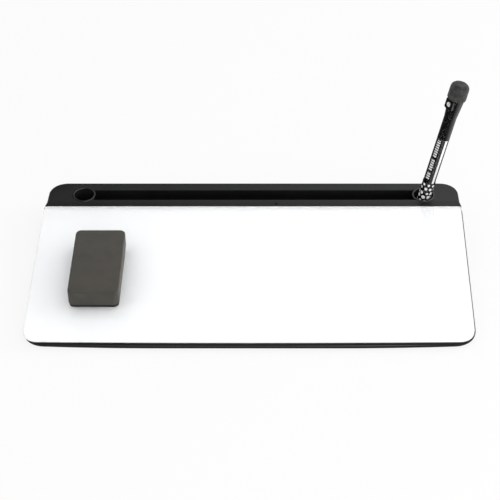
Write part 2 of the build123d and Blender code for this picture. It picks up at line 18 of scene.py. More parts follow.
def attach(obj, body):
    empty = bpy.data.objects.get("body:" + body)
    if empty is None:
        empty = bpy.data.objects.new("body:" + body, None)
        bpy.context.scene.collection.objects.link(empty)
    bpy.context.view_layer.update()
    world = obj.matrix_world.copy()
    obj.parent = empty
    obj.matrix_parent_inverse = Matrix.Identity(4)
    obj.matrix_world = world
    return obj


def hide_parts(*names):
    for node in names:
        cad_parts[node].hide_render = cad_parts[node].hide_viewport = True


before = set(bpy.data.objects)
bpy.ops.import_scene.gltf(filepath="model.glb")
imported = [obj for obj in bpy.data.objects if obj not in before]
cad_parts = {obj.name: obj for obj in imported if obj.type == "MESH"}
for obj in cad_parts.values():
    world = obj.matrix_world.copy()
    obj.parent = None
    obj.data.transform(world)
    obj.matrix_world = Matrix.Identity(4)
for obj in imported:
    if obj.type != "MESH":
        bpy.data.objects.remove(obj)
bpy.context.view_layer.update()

log = logging.getLogger("glass_whiteboard")
Colour = tuple[float, float, float]
Socket = bpy.types.NodeSocket
MM = 0.001
HAIR = 0.001 * MM  # Places closer than this count as one.
SOFT_CREASE = math.radians(60)
NOISE_SPAN = (0.3, 0.7)  # Nearly all of a noise's values lie in it.
# The Mix node's sockets for the share, the first value and the second, then for the mix.
MIX_SOCKETS = {"RGBA": (0, 6, 7, 2), "FLOAT": (0, 2, 3, 0)}


def screen(red: float, green: float, blue: float) -> Colour:
    """Turns a colour as a screen shows it into linear light.

    Args:
        red: red, from 0 to 255.
        green: green, from 0 to 255.
        blue: blue, from 0 to 255.

    Returns:
        The same colour in linear values from 0 to 1.
    """
    full, toe, slope, offset, power = 255, 0.04045, 12.92, 0.055, 2.4
    shares = (value / full for value in (red, green, blue))
    linear = [
        share / slope if share <= toe else ((share + offset) / (1 + offset)) ** power
        for share in shares
    ]
    return linear[0], linear[1], linear[2]


def scaled(colour: Colour, factor: float) -> Colour:
    """Returns the colour made darker or lighter by a factor."""
    return colour[0] * factor, colour[1] * factor, colour[2] * factor


class NodeBuilder:
    """Adds nodes to one node tree and joins their sockets."""

    def __init__(self, tree: bpy.types.NodeTree) -> None:
        """Keeps the tree that the nodes go into."""
        self.tree = tree

    def node(self, kind: str, **settings: object) -> bpy.types.Node:
        """Adds a node.

        Args:
            kind: Blender's name for the kind of node.
            settings: the node's own properties.

        Returns:
            The new node.
        """
        made = self.tree.nodes.new(kind)
        for name, value in settings.items():
            setattr(made, name, value)
        return made

    def feed(self, socket: Socket, value: object) -> None:
        """Links a socket to an output, or sets its own number, vector or colour.

        Args:
            socket: the input to fill.
            value: an output socket, or a plain value. A colour may leave out its alpha.
        """
        if isinstance(value, bpy.types.NodeSocket):
            self.tree.links.new(value, socket)
        elif socket.type == "RGBA":
            socket.default_value = (*value[:3], 1.0)
        else:
            socket.default_value = value

    def fill(self, made: bpy.types.Node, **values: object) -> bpy.types.Node:
        """Feeds a node's inputs by name.

        Args:
            made: the node.
            values: its inputs by name, with underscores for spaces.

        Returns:
            The same node.
        """
        for name, value in values.items():
            self.feed(made.inputs[name.replace("_", " ")], value)
        return made

    def math(self, operation: str, *values: Socket | float) -> Socket:
        """Adds a Math node.

        Args:
            operation: what it works out.
            values: the values that it works on.

        Returns:
            Its result.
        """
        made = self.node("ShaderNodeMath", operation=operation)
        for socket, value in zip(made.inputs, values):
            self.feed(socket, value)
        return made.outputs[0]

    def vector(self, operation: str, *values: object, output: str = "Vector") -> Socket:
        """Adds a Vector Math node.

        Args:
            operation: what it works out.
            values: the values that it works on.
            output: the output to return.

        Returns:
            Its result.
        """
        made = self.node("ShaderNodeVectorMath", operation=operation)
        for socket, value in zip(made.inputs, values):
            self.feed(socket, value)
        return made.outputs[output]

    def patches(self, place: Socket, size: float) -> Socket:
        """Divides coordinates by a size, so that one unit is one patch."""
        return self.vector("DIVIDE", place, (size, size, size))

    def span(self, value: Socket, low: float, high: float, start: float, end: float) -> Socket:
        """Maps a value smoothly from one span to another.

        Args:
            value: the value to map.
            low: the value that becomes start.
            high: the value that becomes end.
            start: the result at low and below.
            end: the result at high and above.

        Returns:
            The mapped value.
        """
        made = self.node("ShaderNodeMapRange", clamp=True, interpolation_type="SMOOTHSTEP")
        self.fill(made, Value=value, From_Min=low, From_Max=high, To_Min=start, To_Max=end)
        return made.outputs["Result"]

    def mix(self, kind: str, *values: object) -> Socket:
        """Mixes two values by a share.

        Args:
            kind: RGBA for colours or FLOAT for numbers.
            values: the share, the first value and the second.

        Returns:
            The mix, which is the second value at share 1.
        """
        made = self.node("ShaderNodeMix", data_type=kind)
        *entries, result = MIX_SOCKETS[kind]
        for index, value in zip(entries, values):
            self.feed(made.inputs[index], value)
        return made.outputs[result]

    def blend(self, share: Socket | float, first: object, second: object) -> Socket:
        """Mixes two colours and returns the mix, which is the second colour at share 1."""
        return self.mix("RGBA", share, first, second)

    def choose(self, share: Socket, first: Socket | float, second: Socket | float) -> Socket:
        """Mixes two numbers and returns the mix, which is the second number at share 1."""
        return self.mix("FLOAT", share, first, second)

    def noise(self, place: Socket, detail: float = 2.0, roughness: float = 0.5) -> Socket:
        """Adds a noise with features one unit across.

        Args:
            place: the coordinates that it follows.
            detail: how many finer layers it has.
            roughness: how strongly the finer layers show.

        Returns:
            The noise's value.
        """
        made = self.node("ShaderNodeTexNoise")
        self.fill(made, Vector=place, Scale=1.0, Detail=detail, Roughness=roughness)
        return made.outputs[0]

    def cells(self, place: Socket) -> bpy.types.Node:
        """Adds a cell pattern with cells one unit across and returns its node."""
        made = self.node("ShaderNodeTexVoronoi")
        return self.fill(made, Vector=place, Scale=1.0, Randomness=1.0)


class Effect(Enum):
    """The surface effects that several finishes share."""

    GRAIN = "moulded_grain"
    CELLS = "foam_cells"
    FIBRES = "felt_fibres"
    STREAKS = "drawn_streaks"
    MARKER = "marker_coordinates"


@dataclass(frozen=True)
class MarkerAxis:
    """The line that the marker stands along, from the bottom of its tail."""

    foot: tuple[float, float, float] = (0.153068, 0.0903955, 0.00723398)
    lean: float = math.radians(13.1)

    def up(self) -> Vector:
        """Returns the direction from the tail to the cap."""
        return Vector((math.sin(self.lean), 0.0, math.cos(self.lean)))

    def right(self) -> Vector:
        """Returns the direction across the marker, to the right."""
        return Vector((math.cos(self.lean), 0.0, -math.sin(self.lean)))

    def matrix(self) -> Matrix:
        """Returns the matrix from the marker's own coordinates, Z along it, to the part's."""
        turn = Matrix.Rotation(self.lean, 4, "Y")
        return Matrix.Translation(self.foot) @ turn


class EffectLibrary:
    """Builds each shared effect once, as a node group, and places it in materials."""

    def __init__(self) -> None:
        """Starts with no group made."""
        self.made: dict[Effect, bpy.types.NodeTree] = {}

    def place(self, builder: NodeBuilder, effect: Effect, **values: object) -> dict[str, Socket]:
        """Places an effect in a material.

        Args:
            builder: the material's nodes.
            effect: the effect to place.
            values: the group's inputs by name, with underscores for spaces.

        Returns:
            The group's outputs by name.
        """
        if effect not in self.made:
            self.made[effect] = self.build(effect)
        group = builder.node("ShaderNodeGroup")
        group.node_tree = self.made[effect]
        builder.fill(group, **values)
        return {output.name: output for output in group.outputs}

    def build(self, effect: Effect) -> bpy.types.NodeTree:
        """Builds one effect's node group.

        Args:
            effect: the effect to build.

        Returns:
            The new node group.
        """
        relief = (("Size",), ("Height", "Shade"))
        makers = {
            Effect.GRAIN: (self.grain, *relief),
            Effect.CELLS: (self.foam, *relief),
            Effect.FIBRES: (self.fibres, *relief),
            Effect.STREAKS: (self.streaks, *relief),
            Effect.MARKER: (self.marker, (), ("Around", "Along")),
        }
        fill_in, inputs, outputs = makers[effect]
        tree = bpy.data.node_groups.new(effect.value, "ShaderNodeTree")
        tree.interface.new_socket(name="Vector", in_out="INPUT", socket_type="NodeSocketVector")
        for name in inputs:
            tree.interface.new_socket(name=name, in_out="INPUT", socket_type="NodeSocketFloat")
        for name in outputs:
            tree.interface.new_socket(name=name, in_out="OUTPUT", socket_type="NodeSocketFloat")
        builder = NodeBuilder(tree)
        entry = builder.node("NodeGroupInput").outputs
        leaving = builder.node("NodeGroupOutput").inputs
        for name, value in fill_in(builder, entry).items():
            builder.feed(leaving[name], value)
        return tree

    @staticmethod
    def grain(
        builder: NodeBuilder, entry: object, patch: float = 30.0 * MM
    ) -> dict[str, Socket]:
        """Makes the fine grain of a moulded surface, with a slow change of tone over it.

        Args:
            builder: the group's nodes.
            entry: the group's inputs.
            patch: the size of a patch of one tone.

        Returns:
            The relief and the tone, both from 0 to about 1.
        """
        fine = builder.vector("DIVIDE", entry["Vector"], entry["Size"])
        slow = builder.patches(entry["Vector"], patch)
        height = builder.noise(fine, detail=3.0, roughness=0.6)
        return {"Height": height, "Shade": builder.noise(slow, detail=3.0)}

    @staticmethod
    def foam(
        builder: NodeBuilder,
        entry: object,
        patch: float = 12.0 * MM,
        cell_span: tuple[float, float] = (0.1, 0.9),
        tooth_share: float = 0.5,
        cell_share: float = 0.35,
    ) -> dict[str, Socket]:
        """Makes the closed cells of dense foam, with a fine tooth between them.

        Args:
            builder: the group's nodes.
            entry: the group's inputs.
            patch: the size of a patch of one tone.
            cell_span: the distances from a cell's middle between which its wall rises.
            tooth_share: how much the tooth adds to the relief.
            cell_share: how much the cells add to the tone.

        Returns:
            The relief and the tone, both from 0 to about 1.
        """
        fine = builder.vector("DIVIDE", entry["Vector"], entry["Size"])
        cells = builder.cells(fine)
        tooth = builder.noise(fine, detail=4.0, roughness=0.7)
        rounded = builder.span(cells.outputs["Distance"], *cell_span, 0.0, 1.0)
        height = builder.math("MULTIPLY_ADD", tooth, tooth_share, rounded)
        slow = builder.noise(builder.patches(entry["Vector"], patch), detail=4.0)
        speckle = builder.math("MULTIPLY_ADD", cells.outputs["Distance"], cell_share, slow)
        return {"Height": height, "Shade": speckle}

    @staticmethod
    def fibres(
        builder: NodeBuilder,
        entry: object,
        lays: tuple[tuple[float, float, float], ...] = (
            (1.0, 0.22, 0.6),
            (0.22, 1.0, 0.4),
            (0.7, 0.6, 0.2),
        ),
        drift_scale: float = 0.4,
        clump_scale: float = 0.12,
        clump_share: float = 0.6,
    ) -> dict[str, Socket]:
        """Makes the matted fibres of felt from three crossed layers of stretched noise.

        Args:
            builder: the group's nodes.
            entry: the group's inputs.
            lays: how fine each layer is along each axis.
            drift_scale: how fine the bends of the fibres are.
            clump_scale: how fine the clumps are against the fibres.
            clump_share: how much of the tone the clumps give.

        Returns:
            The relief and the tone, both from 0 to about 1.
        """
        fine = builder.vector("DIVIDE", entry["Vector"], entry["Size"])
        drift = builder.node("ShaderNodeTexNoise")
        builder.fill(drift, Vector=fine, Scale=drift_scale)
        bent = builder.vector("ADD", fine, drift.outputs["Color"])
        along, across, upright = (
            builder.noise(builder.vector("MULTIPLY", bent, lay), detail=3.0) for lay in lays
        )
        matted = builder.math("MAXIMUM", builder.math("MAXIMUM", along, across), upright)
        coarse = builder.vector("MULTIPLY", fine, (clump_scale, clump_scale, clump_scale))
        clumps = builder.noise(coarse, detail=3.0)
        rest = builder.math("MULTIPLY", matted, 1 - clump_share)
        shade = builder.math("MULTIPLY_ADD", clumps, clump_share, rest)
        return {"Height": matted, "Shade": shade}

    @staticmethod
    def streaks(
        builder: NodeBuilder,
        entry: object,
        patch: float = 20.0 * MM,
        lay: tuple[float, float, float] = (0.01, 1.0, 1.0),
    ) -> dict[str, Socket]:
        """Makes fine straight streaks along X, as drawing or brushing leaves them.

        Args:
            builder: the group's nodes.
            entry: the group's inputs.
            patch: the size of a patch of one tone.
            lay: how fine the streaks are along each axis.

        Returns:
            The relief and the tone, both from 0 to about 1.
        """
        fine = builder.vector("DIVIDE", entry["Vector"], entry["Size"])
        lines = builder.noise(builder.vector("MULTIPLY", fine, lay), detail=4.0)
        slow = builder.noise(builder.patches(entry["Vector"], patch), detail=2.0)
        return {"Height": lines, "Shade": slow}

    @staticmethod
    def marker(builder: NodeBuilder, entry: object) -> dict[str, Socket]:
        """Turns places on the marker into places round its axis and along it.

        Args:
            builder: the group's nodes.
            entry: the group's inputs.

        Returns:
            The turns round the axis and the metres along it.
        """
        axis = MarkerAxis()
        offset = builder.vector("SUBTRACT", entry["Vector"], axis.foot)
        along = builder.vector("DOT_PRODUCT", offset, tuple(axis.up()), output="Value")
        right = builder.vector("DOT_PRODUCT", offset, tuple(axis.right()), output="Value")
        rear = builder.vector("DOT_PRODUCT", offset, (0.0, 1.0, 0.0), output="Value")
        around = builder.math("DIVIDE", builder.math("ARCTAN2", rear, right), math.tau)
        return {"Around": around, "Along": along}


class Surface(NodeBuilder):
    """A material under construction, with its Principled shader and object coordinates."""

    def __init__(self, name: str) -> None:
        """Starts the material.

        Args:
            name: the material's name.
        """
        self.material = bpy.data.materials.new(name)
        self.material.use_nodes = True
        self.material.node_tree.nodes.clear()
        super().__init__(self.material.node_tree)
        self.shader = self.node("ShaderNodeBsdfPrincipled")
        self.output = self.node("ShaderNodeOutputMaterial")
        self.feed(self.output.inputs["Surface"], self.shader.outputs[0])
        self.place = self.node("ShaderNodeTexCoord").outputs["Object"]

    def raise_by(self, height: Socket, depth: float, strength: float = 1.0) -> None:
        """Gives the surface a relief.

        Args:
            height: the relief, from 0 to 1.
            depth: how high 1 stands, in metres.
            strength: how strongly the relief shows.
        """
        bump = self.fill(
            self.node("ShaderNodeBump"), Height=height, Distance=depth, Strength=strength
        )
        self.feed(self.shader.inputs["Normal"], bump.outputs[0])


@dataclass(frozen=True)
class MouldedFinish:
    """Moulded plastic or rubber, from satin to glossy."""

    name: str
    colour: Colour
    roughness: float
    grain: float
    depth: float
    shine: float = 0.5
    spread: float = 0.12
    smooth_share: float = 0.9
    rough_share: float = 1.12

    def surface(self, effects: EffectLibrary) -> Surface:
        """Builds the material.

        Args:
            effects: the shared effects.

        Returns:
            The material, still open for more.
        """
        made = Surface(self.name)
        grain = effects.place(made, Effect.GRAIN, Vector=made.place, Size=self.grain)
        tone = made.span(grain["Shade"], *NOISE_SPAN, 0.0, 1.0)
        darker = scaled(self.colour, 1 - self.spread)
        lighter = scaled(self.colour, 1 + self.spread)
        made.feed(made.shader.inputs["Base Color"], made.blend(tone, darker, lighter))
        low, high = self.roughness * self.smooth_share, self.roughness * self.rough_share
        rough = made.span(grain["Shade"], *NOISE_SPAN, low, high)
        made.fill(made.shader, Roughness=rough, Specular_IOR_Level=self.shine)
        made.raise_by(grain["Height"], self.depth)
        return made

    def material(self, effects: EffectLibrary) -> bpy.types.Material:
        """Builds the finished material."""
        return self.surface(effects).material


@dataclass(frozen=True)
class DottedFinish:
    """Glossy black plastic printed with plain white dots, for the marker's tail."""

    base: MouldedFinish
    dot_colour: Colour
    radius: float = 6.0 * MM
    columns: int = 8
    row_pitch: float = 4.3 * MM
    least_dot: float = 1.15 * MM
    most_dot: float = 1.8 * MM
    drift: float = 0.09
    edge: float = 0.12 * MM

    def material(self, effects: EffectLibrary) -> bpy.types.Material:
        """Builds the material: staggered dots round the tail, each a little off its place.

        Args:
            effects: the shared effects.

        Returns:
            The finished material.
        """
        made = self.base.surface(effects)
        place = effects.place(made, Effect.MARKER, Vector=made.place)
        rows = made.math("DIVIDE", place["Along"], self.row_pitch)
        row = made.math("FLOOR", rows)
        stagger = made.math("MULTIPLY", made.math("MODULO", row, 2.0), 0.5)
        turns = made.math("MULTIPLY_ADD", place["Around"], float(self.columns), stagger)
        column = made.math("FLOOR", turns)
        wrapped = made.math("FLOORED_MODULO", column, float(self.columns))
        cell = made.fill(made.node("ShaderNodeCombineXYZ"), X=wrapped, Y=row).outputs[0]
        chance = made.node("ShaderNodeTexWhiteNoise", noise_dimensions="2D")
        made.fill(chance, Vector=cell)
        shares = made.node("ShaderNodeSeparateColor")
        made.feed(shares.inputs[0], chance.outputs["Color"])
        across = self.offset(made, turns, column, shares.outputs[0])
        along = self.offset(made, rows, row, shares.outputs[1])
        column_pitch = math.tau * self.radius / self.columns
        from_middle = made.fill(
            made.node("ShaderNodeCombineXYZ"),
            X=made.math("MULTIPLY", across, column_pitch),
            Y=made.math("MULTIPLY", along, self.row_pitch),
        )
        distance = made.vector("LENGTH", from_middle.outputs[0], output="Value")
        reach = made.span(shares.outputs[2], 0.0, 1.0, self.least_dot, self.most_dot)
        beyond = made.math("SUBTRACT", distance, reach)
        mask = made.span(beyond, -self.edge, self.edge, 1.0, 0.0)
        colour = made.blend(mask, self.base.colour, self.dot_colour)
        made.feed(made.shader.inputs["Base Color"], colour)
        return made.material

    def offset(self, made: Surface, value: Socket, whole: Socket, chance: Socket) -> Socket:
        """Measures how far a place lies from the middle of its dot, in cells.

        Args:
            made: the material's nodes.
            value: the place, counted in cells.
            whole: the number of the cell.
            chance: the cell's own random share.

        Returns:
            The distance with its sign.
        """
        inside = made.math("SUBTRACT", value, whole)
        middle = made.span(chance, 0.0, 1.0, 0.5 - self.drift, 0.5 + self.drift)
        return made.math("SUBTRACT", inside, middle)


@dataclass(frozen=True)
class LabelFinish:
    """Printed black film with rows of plain pale dashes, and a dark grey stripe that is a painted
    highlight: a lamp's reflection painted into the film's colour.
    """

    base: MouldedFinish
    bar_colour: Colour
    painted_highlight_colour: Colour
    radius: float = 5.62 * MM
    bars: tuple[tuple[float, float], ...] = (
        (38.5 * MM, 46.2 * MM),
        (48.0 * MM, 60.5 * MM),
        (62.3 * MM, 80.5 * MM),
    )
    bar_turn: float = -0.365
    bar_half_width: float = 1.75 * MM
    bar_round: float = 0.5 * MM
    dash_pitch: float = 2.4 * MM
    dash_share: float = 0.66
    # The turns round the marker of the dark grey stripe, a painted highlight where a lamp's
    # reflection falls.
    painted_highlight_band: tuple[float, float] = (-0.281, -0.203)
    edge: float = 0.12 * MM

    def material(self, effects: EffectLibrary) -> bpy.types.Material:
        """Builds the material from the marker's own coordinates.

        Args:
            effects: the shared effects.

        Returns:
            The finished material.
        """
        made = self.base.surface(effects)
        place = effects.place(made, Effect.MARKER, Vector=made.place)
        sideways = made.math("SUBTRACT", place["Around"], self.bar_turn)
        across = made.math("MULTIPLY", made.math("ABSOLUTE", sideways), math.tau * self.radius)
        past_side = self.beyond(made, across, self.bar_half_width - self.bar_round)
        mask: Socket | float = 0.0
        for start, end in self.bars:
            middle, half = (start + end) / 2, (end - start) / 2
            off_middle = made.math("ABSOLUTE", made.math("SUBTRACT", place["Along"], middle))
            past_end = self.beyond(made, off_middle, half - self.bar_round)
            corner = made.fill(made.node("ShaderNodeCombineXYZ"), X=past_side, Y=past_end)
            distance = made.vector("LENGTH", corner.outputs[0], output="Value")
            low, high = self.bar_round - self.edge, self.bar_round + self.edge
            mask = made.math("MAXIMUM", mask, made.span(distance, low, high, 1.0, 0.0))
        mask = made.math("MULTIPLY", mask, self.dashes(made, place["Along"]))
        # The dark grey stripe is a painted highlight: a lamp's reflection painted at a fixed turn
        # round the marker.
        starts = made.math("GREATER_THAN", place["Around"], self.painted_highlight_band[0])
        ends = made.math("LESS_THAN", place["Around"], self.painted_highlight_band[1])
        painted_highlight_band = made.math("MULTIPLY", starts, ends)
        film_and_painted_highlight = made.blend(painted_highlight_band, self.base.colour, self.painted_highlight_colour)
        made.feed(made.shader.inputs["Base Color"], made.blend(mask, film_and_painted_highlight, self.bar_colour))
        return made.material

    @staticmethod
    def beyond(made: Surface, distance: Socket, limit: float) -> Socket:
        """Returns how far a distance goes past a limit, and 0 up to it."""
        return made.math("MAXIMUM", made.math("SUBTRACT", distance, limit), 0.0)

    def dashes(self, made: Surface, along: Socket) -> Socket:
        """Breaks the bars into plain dashes across the label.

        Args:
            made: the material's nodes.
            along: metres along the marker.

        Returns:
            1 on a dash and 0 between two.
        """
        share = made.math("FRACT", made.math("DIVIDE", along, self.dash_pitch))
        off_middle = made.math("ABSOLUTE", made.math("SUBTRACT", share, 0.5))
        soft = self.edge / self.dash_pitch
        half = self.dash_share / 2
        return made.span(off_middle, half - soft, half + soft, 1.0, 0.0)


@dataclass(frozen=True)
class GlassFinish:
    """Clear float glass with a faint tint and the slightest ripple."""

    name: str
    tint: Colour
    roughness: float = 0.04
    index: float = 1.52
    ripple: float = 60.0 * MM
    ripple_depth: float = 0.004 * MM
    ripple_strength: float = 0.3

    def material(self, effects: EffectLibrary) -> bpy.types.Material:
        """Builds the glass.

        Args:
            effects: the shared effects.

        Returns:
            The finished material.
        """
        made = Surface(self.name)
        made.fill(
            made.shader,
            Base_Color=self.tint,
            Roughness=self.roughness,
            IOR=self.index,
            Transmission_Weight=1.0,
        )
        grain = effects.place(made, Effect.GRAIN, Vector=made.place, Size=self.ripple)
        made.raise_by(grain["Height"], self.ripple_depth, self.ripple_strength)
        return made.material


@dataclass(frozen=True)
class FoamFinish:
    """Dense closed-cell foam."""

    name: str
    colour: Colour
    cell: float
    depth: float
    contrast: float = 0.12
    shade_span: tuple[float, float] = (0.3, 0.95)
    height_span: tuple[float, float] = (0.2, 1.2)
    roughness: float = 0.78
    spread: float = 0.08

    def material(self, effects: EffectLibrary) -> bpy.types.Material:
        """Builds the foam.

        Args:
            effects: the shared effects.

        Returns:
            The finished material.
        """
        made = Surface(self.name)
        cells = effects.place(made, Effect.CELLS, Vector=made.place, Size=self.cell)
        tone = made.span(cells["Shade"], *self.shade_span, 0.0, 1.0)
        darker = scaled(self.colour, 1 - self.contrast)
        lighter = scaled(self.colour, 1 + self.contrast)
        made.feed(made.shader.inputs["Base Color"], made.blend(tone, darker, lighter))
        low, high = self.roughness * (1 - self.spread), self.roughness * (1 + self.spread)
        rough = made.span(cells["Height"], *self.height_span, low, high)
        made.fill(made.shader, Roughness=rough, Specular_IOR_Level=0.35)
        made.fill(made.shader, Sheen_Weight=0.12, Sheen_Roughness=0.5)
        made.raise_by(cells["Height"], self.depth)
        return made.material


@dataclass(frozen=True)
class FeltFinish:
    """Pressed felt, or a fibre rod, with fibres that catch the light."""

    name: str
    colour: Colour
    fibre: float
    depth: float
    contrast: float = 0.45
    sheen: float = 0.15
    shade_span: tuple[float, float] = (0.35, 0.65)
    height_span: tuple[float, float] = (0.4, 0.8)
    smoothest: float = 0.85
    roughest: float = 0.98

    def material(self, effects: EffectLibrary) -> bpy.types.Material:
        """Builds the felt.

        Args:
            effects: the shared effects.

        Returns:
            The finished material.
        """
        made = Surface(self.name)
        fibres = effects.place(made, Effect.FIBRES, Vector=made.place, Size=self.fibre)
        tone = made.span(fibres["Shade"], *self.shade_span, 0.0, 1.0)
        darker = scaled(self.colour, 1 - self.contrast)
        lighter = scaled(self.colour, 1 + self.contrast)
        made.feed(made.shader.inputs["Base Color"], made.blend(tone, darker, lighter))
        rough = made.span(fibres["Height"], *self.height_span, self.roughest, self.smoothest)
        made.fill(made.shader, Roughness=rough, Specular_IOR_Level=0.2)
        made.fill(made.shader, Sheen_Weight=self.sheen, Sheen_Roughness=0.45)
        made.raise_by(fibres["Height"], self.depth)
        return made.material


@dataclass(frozen=True)
class MetalFinish:
    """Sheet steel or zinc-plated steel."""

    name: str
    colour: Colour
    roughness: float
    streak: float
    depth: float
    spread: float = 0.2
    darkest: float = 0.9
    lightest: float = 1.08

    def material(self, effects: EffectLibrary) -> bpy.types.Material:
        """Builds the metal.

        Args:
            effects: the shared effects.

        Returns:
            The finished material.
        """
        made = Surface(self.name)
        streaks = effects.place(made, Effect.STREAKS, Vector=made.place, Size=self.streak)
        tone = made.span(streaks["Shade"], *NOISE_SPAN, 0.0, 1.0)
        darker, lighter = scaled(self.colour, self.darkest), scaled(self.colour, self.lightest)
        made.feed(made.shader.inputs["Base Color"], made.blend(tone, darker, lighter))
        low, high = self.roughness * (1 - self.spread), self.roughness * (1 + self.spread)
        rough = made.span(streaks["Height"], *NOISE_SPAN, low, high)
        made.fill(made.shader, Roughness=rough, Metallic=1.0)
        made.raise_by(streaks["Height"], self.depth)
        return made.material


def dress(nodes: tuple[str, ...], material: bpy.types.Material) -> None:
    """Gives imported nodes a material.

    Args:
        nodes: the names of the nodes.
        material: the material for all of them.
    """
    for name in nodes:
        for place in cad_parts[name].material_slots:
            place.material = material
        log.info("%s: %s", name, material.name)


@dataclass(frozen=True)
class PieceFacts:
    """What a new piece is called, moves with, stands for and is made of."""

    name: str
    body: str
    stands_for: str
    slot: str

    def finish(
        self, shape: bmesh.types.BMesh, to_part: Matrix, material: bpy.types.Material, crease: float
    ) -> bpy.types.Object:
        """Turns a finished shape into the piece, in its place.

        Args:
            shape: the shape in its own coordinates, which is freed.
            to_part: the matrix from those coordinates to the part's.
            material: the piece's material.
            crease: the angle over which an edge stays sharp.

        Returns:
            The new object.
        """
        shape.transform(to_part)
        mesh = bpy.data.meshes.new(self.name)
        shape.to_mesh(mesh)
        shape.free()
        mesh.shade_smooth()
        mesh.set_sharp_from_angle(angle=crease)
        mesh.materials.append(material)
        made = bpy.data.objects.new(self.name, mesh)
        bpy.context.scene.collection.objects.link(made)
        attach(made, self.body)
        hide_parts(self.stands_for)
        log.info("%s: %d faces, %s", self.name, len(mesh.polygons), material.name)
        return made


@dataclass(frozen=True)
class BoardPlane:
    """The sloping plane of the glass top. Its own Y is the distance up the slope."""

    tilt: float = math.radians(4.5)
    front: float = -0.1064458
    height: float = 0.0105719

    def matrix(self) -> Matrix:
        """Returns the matrix from the board's coordinates to the part's."""
        turn = Matrix.Rotation(self.tilt, 4, "X")
        return Matrix.Translation((0.0, self.front, self.height)) @ turn


@dataclass(frozen=True)
class RoundedSlab:
    """A slab with rounded corners, seen from above, and softened rims."""

    width: float
    depth: float
    thickness: float
    front_radius: float
    rear_radius: float
    top_rim: float
    bottom_rim: float
    corner_segments: int = 14
    rim_segments: int = 4
    front_bow: float = 0.0
    strips: int = 24

    def shape(self, middle: tuple[float, float, float]) -> bmesh.types.BMesh:
        """Builds the slab.

        Args:
            middle: the middle of the slab in the board's coordinates.

        Returns:
            The slab in the board's coordinates.
        """
        slab = bmesh.new()
        bmesh.ops.create_cube(slab, size=1.0)
        size = (self.width, self.depth, self.thickness)
        bmesh.ops.scale(slab, vec=size, verts=slab.verts)
        for end, radius in ((-1, self.front_radius), (1, self.rear_radius)):
            corners = [edge for edge in slab.edges if self.is_corner(edge, end)]
            self.round_off(slab, corners, radius, self.corner_segments)
        for end, radius in ((1, self.top_rim), (-1, self.bottom_rim)):
            rim = [edge for edge in slab.edges if self.is_rim(edge, end)]
            self.round_off(slab, rim, radius, self.rim_segments)
        if self.front_bow:
            self.bow_front(slab)
        bmesh.ops.translate(slab, vec=middle, verts=slab.verts)
        return slab

    def bow_front(self, slab: bmesh.types.BMesh) -> None:
        """Cuts the slab into strips and draws its front edge back towards the corners.

        Args:
            slab: the slab, with its middle at the origin.
        """
        half, straight = self.width / 2, self.width / 2 - self.front_radius
        for strip in range(1, self.strips):
            across = straight * (2 * strip / self.strips - 1)
            everything = [*slab.verts, *slab.edges, *slab.faces]
            bmesh.ops.bisect_plane(
                slab, geom=everything, plane_co=(across, 0.0, 0.0), plane_no=(1.0, 0.0, 0.0)
            )
        for vert in slab.verts:
            if vert.co.y < 0:
                vert.co.y += self.front_bow * (vert.co.x / half) ** 2

    def is_corner(self, edge: bmesh.types.BMEdge, end: int) -> bool:
        """Tells the upright corner edges of one end.

        Args:
            edge: the edge to judge.
            end: -1 for the front or 1 for the rear.

        Returns:
            True for such an edge.
        """
        first, second = (vert.co for vert in edge.verts)
        upright = abs(first.z - second.z) > self.thickness / 2
        at_side = min(abs(first.x), abs(second.x)) > self.width / 2 - HAIR
        return upright and at_side and min(first.y * end, second.y * end) > self.depth / 4

    def is_rim(self, edge: bmesh.types.BMEdge, end: int) -> bool:
        """Tells the edges of one rim.

        Args:
            edge: the edge to judge.
            end: -1 for the bottom rim or 1 for the top rim.

        Returns:
            True for such an edge.
        """
        level = self.thickness / 2 - HAIR
        flat = all(vert.co.z * end > level for vert in edge.verts)
        return flat and any(abs(face.normal.z) < 0.5 for face in edge.link_faces)

    @staticmethod
    def round_off(
        slab: bmesh.types.BMesh, edges: list[bmesh.types.BMEdge], radius: float, segments: int
    ) -> None:
        """Rounds edges over.

        Args:
            slab: the slab.
            edges: the edges to round.
            radius: the rounding's radius.
            segments: how many faces it has.
        """
        bmesh.ops.bevel(
            slab,
            geom=edges,
            offset=radius,
            offset_type="OFFSET",
            segments=segments,
            profile=0.5,
            affect="EDGES",
            material=-1,
        )
        slab.normal_update()


